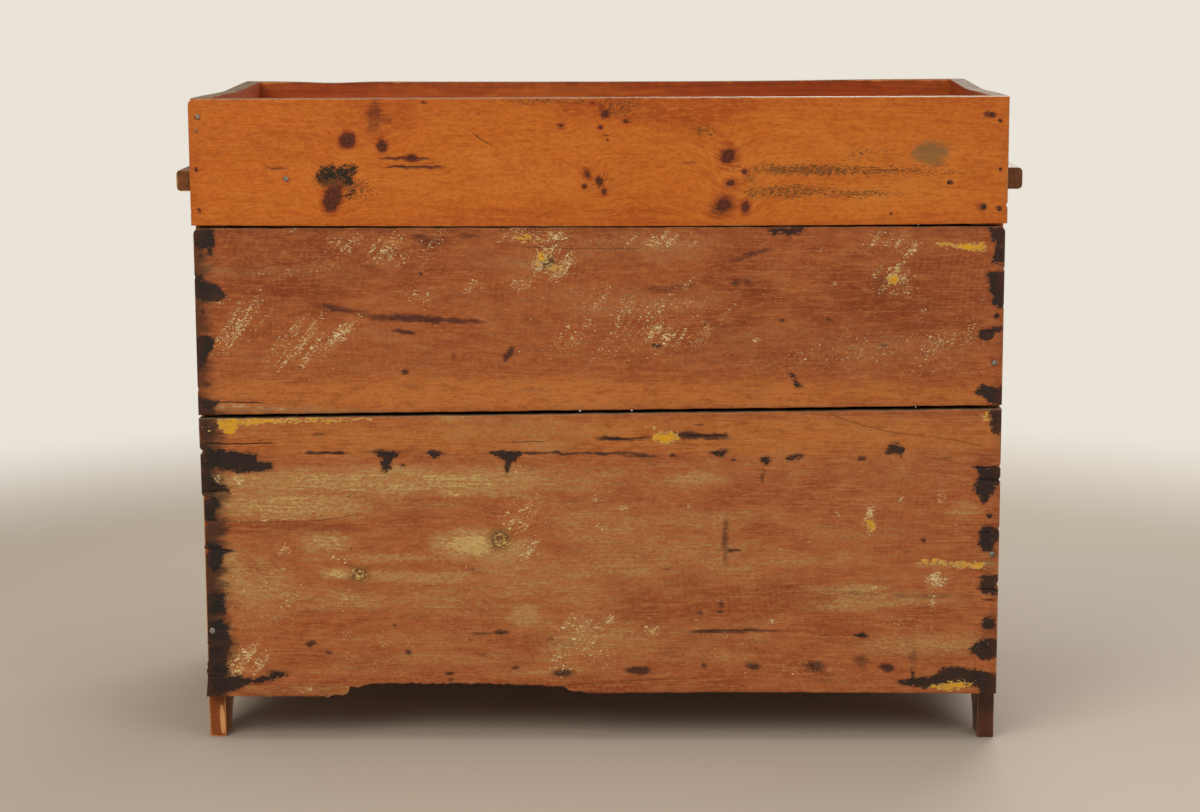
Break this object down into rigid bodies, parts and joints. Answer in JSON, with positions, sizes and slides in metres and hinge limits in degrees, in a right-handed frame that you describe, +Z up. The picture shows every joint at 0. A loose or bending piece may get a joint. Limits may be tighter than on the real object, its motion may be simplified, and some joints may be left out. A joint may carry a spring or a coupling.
{
  "type": "dry sink cabinet",
  "caption": "Pine dry sink cabinet: a lift-off tray with a shallow well and side cleats on a case with a shelf and hinged panelled doors.",
  "frame": {"origin": "on the floor, under the middle of the box round the closed cabinet with its tray, side cleats and knobs", "axes": "+X towards the cabinet's right end as seen from its doors, +Y towards its back boards, +Z up"},
  "size_m": [1.111, 0.558, 0.864],
  "materials": {
    "pine_tray": "orange refinished pine with dark knots, a soft sheen and worn edges",
    "pine_front": "refinished pine, orange brown, with knots and worn edges",
    "pine_back": "weathered red brown pine with dark nail stains and flecks of cream and yellow paint",
    "pine_inside": "bare aged pine, dull",
    "hardwood": "dark hardwood, polished by hands",
    "iron": "dark iron with a little rust"
  },
  "bodies": {
    "case": {"end_board_right": "pine_front", "end_board_left": "pine_front", "back_board_upper": "pine_back", "back_board_lower": "pine_back", "frame_stile_right": "pine_front", "frame_stile_left": "pine_front", "frame_stile_centre": "pine_front", "frame_rail_top": "pine_front", "frame_rail_bottom": "pine_front", "bottom_board_back": "pine_inside", "bottom_board_front": "pine_inside", "shelf_board_back": "pine_inside", "shelf_board_front": "pine_inside", "shelf_cleat_right": "pine_inside", "shelf_cleat_left": "pine_inside", "tray_guide_right": "pine_inside", "tray_guide_left": "pine_inside", "turn_button_screw": "iron", "hinge_frame_leaf_left_upper": "iron", "hinge_pin_left_upper": "iron", "hinge_frame_leaf_left_lower": "iron", "hinge_pin_left_lower": "iron", "hinge_frame_leaf_right_upper": "iron", "hinge_pin_right_upper": "iron", "hinge_frame_leaf_right_lower": "iron", "hinge_pin_right_lower": "iron"},
    "tray": {"tray_back_board": "pine_tray", "tray_front_board": "pine_tray", "tray_side_board_right": "pine_tray", "tray_side_board_left": "pine_tray", "well_board_1": "pine_inside", "well_board_2": "pine_inside", "well_board_3": "pine_inside", "tray_batten_right": "pine_inside", "tray_batten_left": "pine_inside", "tray_handle_right": "hardwood", "tray_handle_left": "hardwood"},
    "door_left": {"door_hinge_stile_left": "pine_front", "door_knob_stile_left": "pine_front", "door_top_rail_left": "pine_front", "door_bottom_rail_left": "pine_front", "door_panel_left": "pine_front", "door_knob_left": "hardwood", "hinge_door_leaf_left_upper": "iron", "hinge_door_leaf_left_lower": "iron"},
    "door_right": {"door_hinge_stile_right": "pine_front", "door_knob_stile_right": "pine_front", "door_top_rail_right": "pine_front", "door_bottom_rail_right": "pine_front", "door_panel_right": "pine_front", "door_knob_right": "hardwood", "hinge_door_leaf_right_upper": "iron", "hinge_door_leaf_right_lower": "iron"},
    "button": {"turn_button": "hardwood"}
  },
  "joints": [
    {"name": "tray_lift", "type": "slide", "parent": "case", "child": "tray", "axis": [0, 0, 1], "range_m": [0, 0.2]},
    {"name": "left_door_hinge", "type": "hinge", "parent": "case", "child": "door_left", "pos_m": [-0.4683, -0.2554, 0.3825], "axis": [0, 0, -1], "range_deg": [0, 165]},
    {"name": "right_door_hinge", "type": "hinge", "parent": "case", "child": "door_right", "pos_m": [0.4683, -0.2554, 0.3825], "axis": [0, 0, 1], "range_deg": [0, 165]},
    {"name": "button_turn", "type": "hinge", "parent": "case", "child": "button", "pos_m": [0, -0.2572, 0.472], "axis": [0, 1, 0], "range_deg": [-90, 90]}
  ]
}
